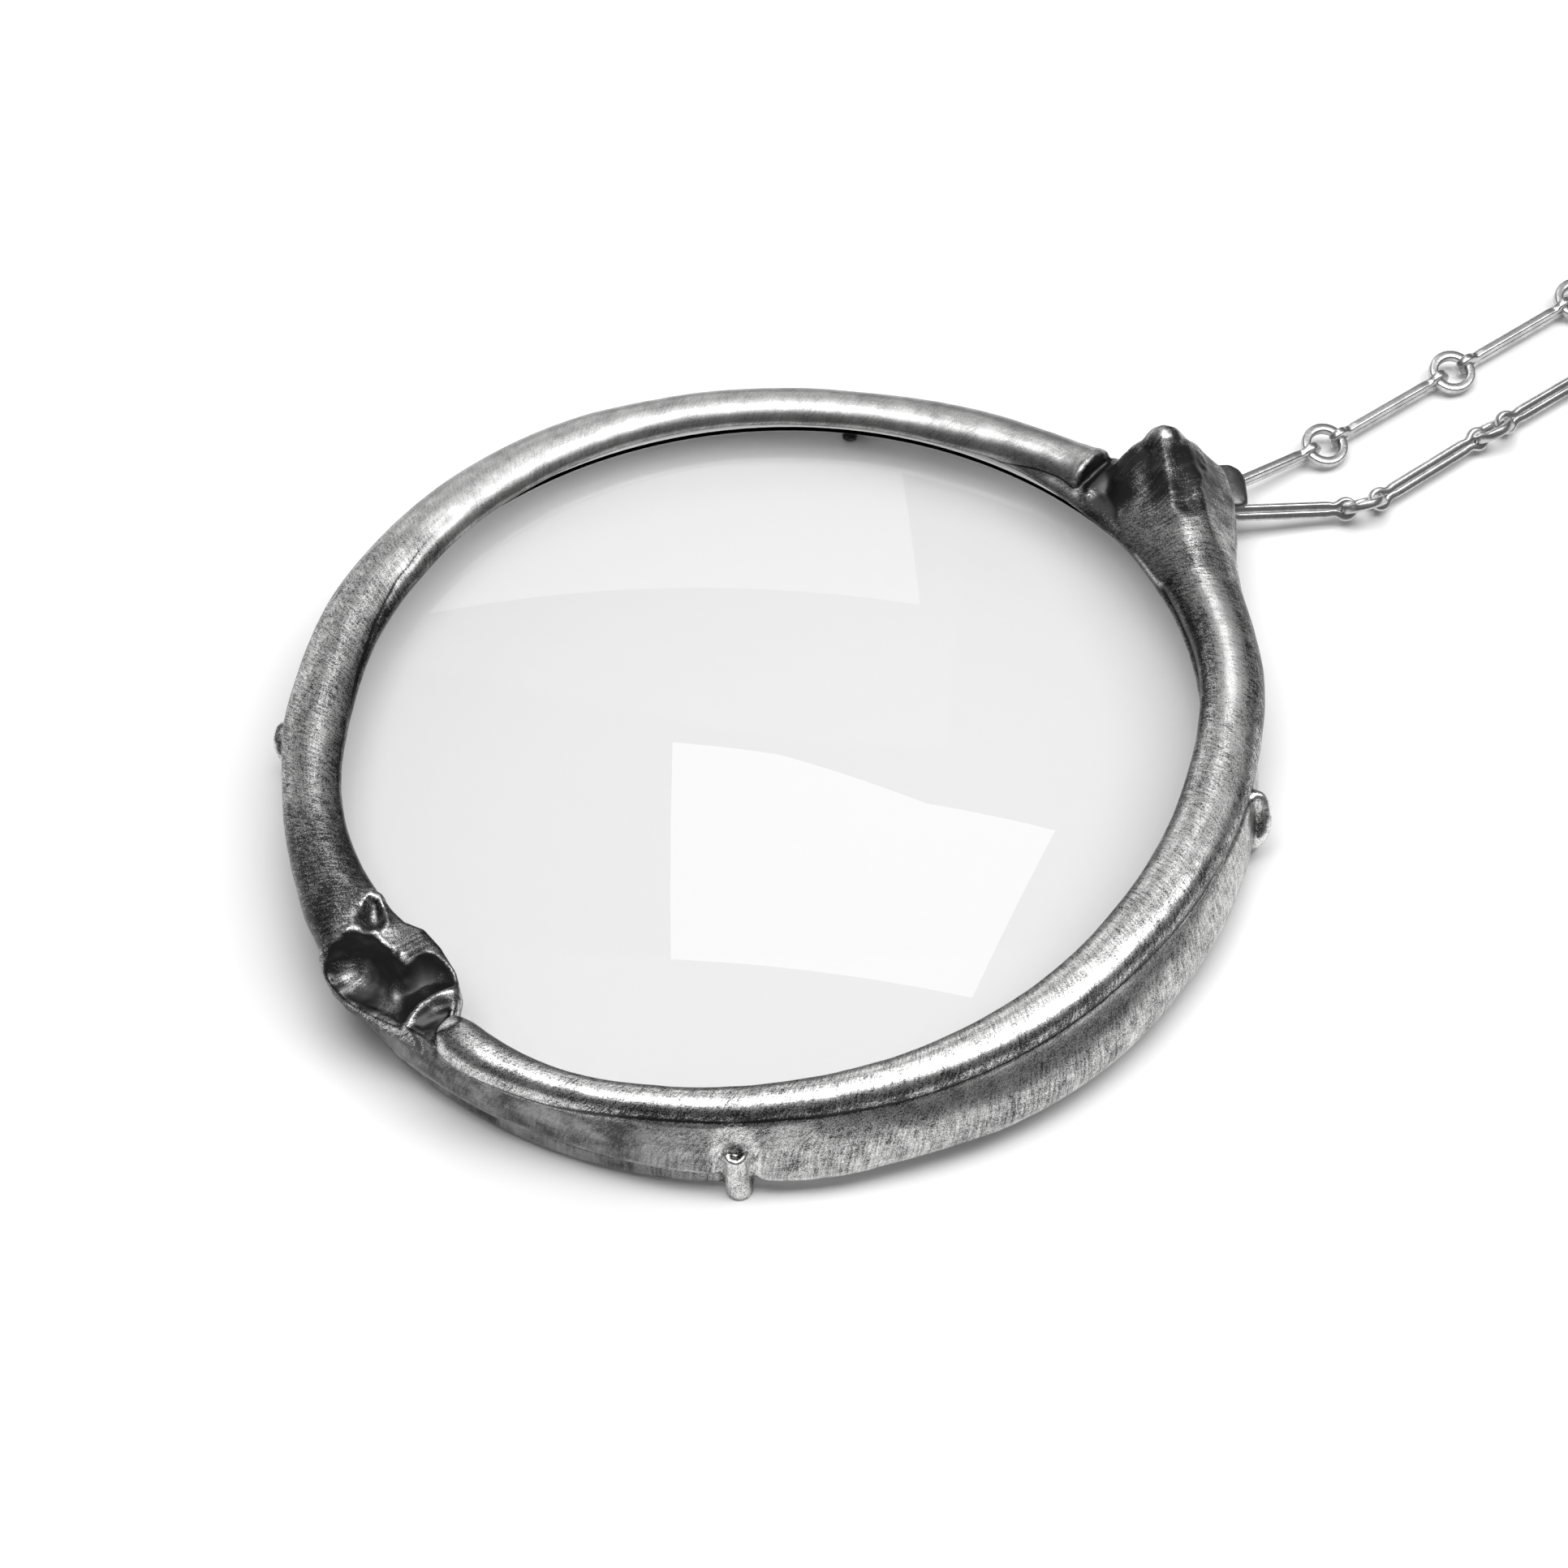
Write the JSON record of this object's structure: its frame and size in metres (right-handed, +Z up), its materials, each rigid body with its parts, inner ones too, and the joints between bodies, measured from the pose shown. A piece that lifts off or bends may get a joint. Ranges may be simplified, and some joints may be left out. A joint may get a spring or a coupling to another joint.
{
  "type": "magnifying lens pendant on a chain",
  "caption": "Round magnifying lens in a silver bezel of cast bones laid nose to tail, held by prong feet, on a long loop of slim bar links with a plain hook.",
  "frame": {"origin": "middle of the whole footprint, pendant and laid-out chain together, on the surface that it lies on", "axes": "+X to the right and +Y away from the viewer of the picture, +Z up; the pendant lies on its prong feet towards -X and -Y, and the chain runs from it towards +X and +Y"},
  "size_m": [0.3262, 0.2442, 0.0092],
  "materials": {
    "silver": "brushed and oxidised silver, dark in its hollows",
    "glass": "clear polished lens",
    "dark_silver": "oxidised silver"
  },
  "bodies": {
    "root": {"frame": "silver", "lens": "glass", "chain": "dark_silver", "clasp": "dark_silver"}
  },
  "joints": []
}
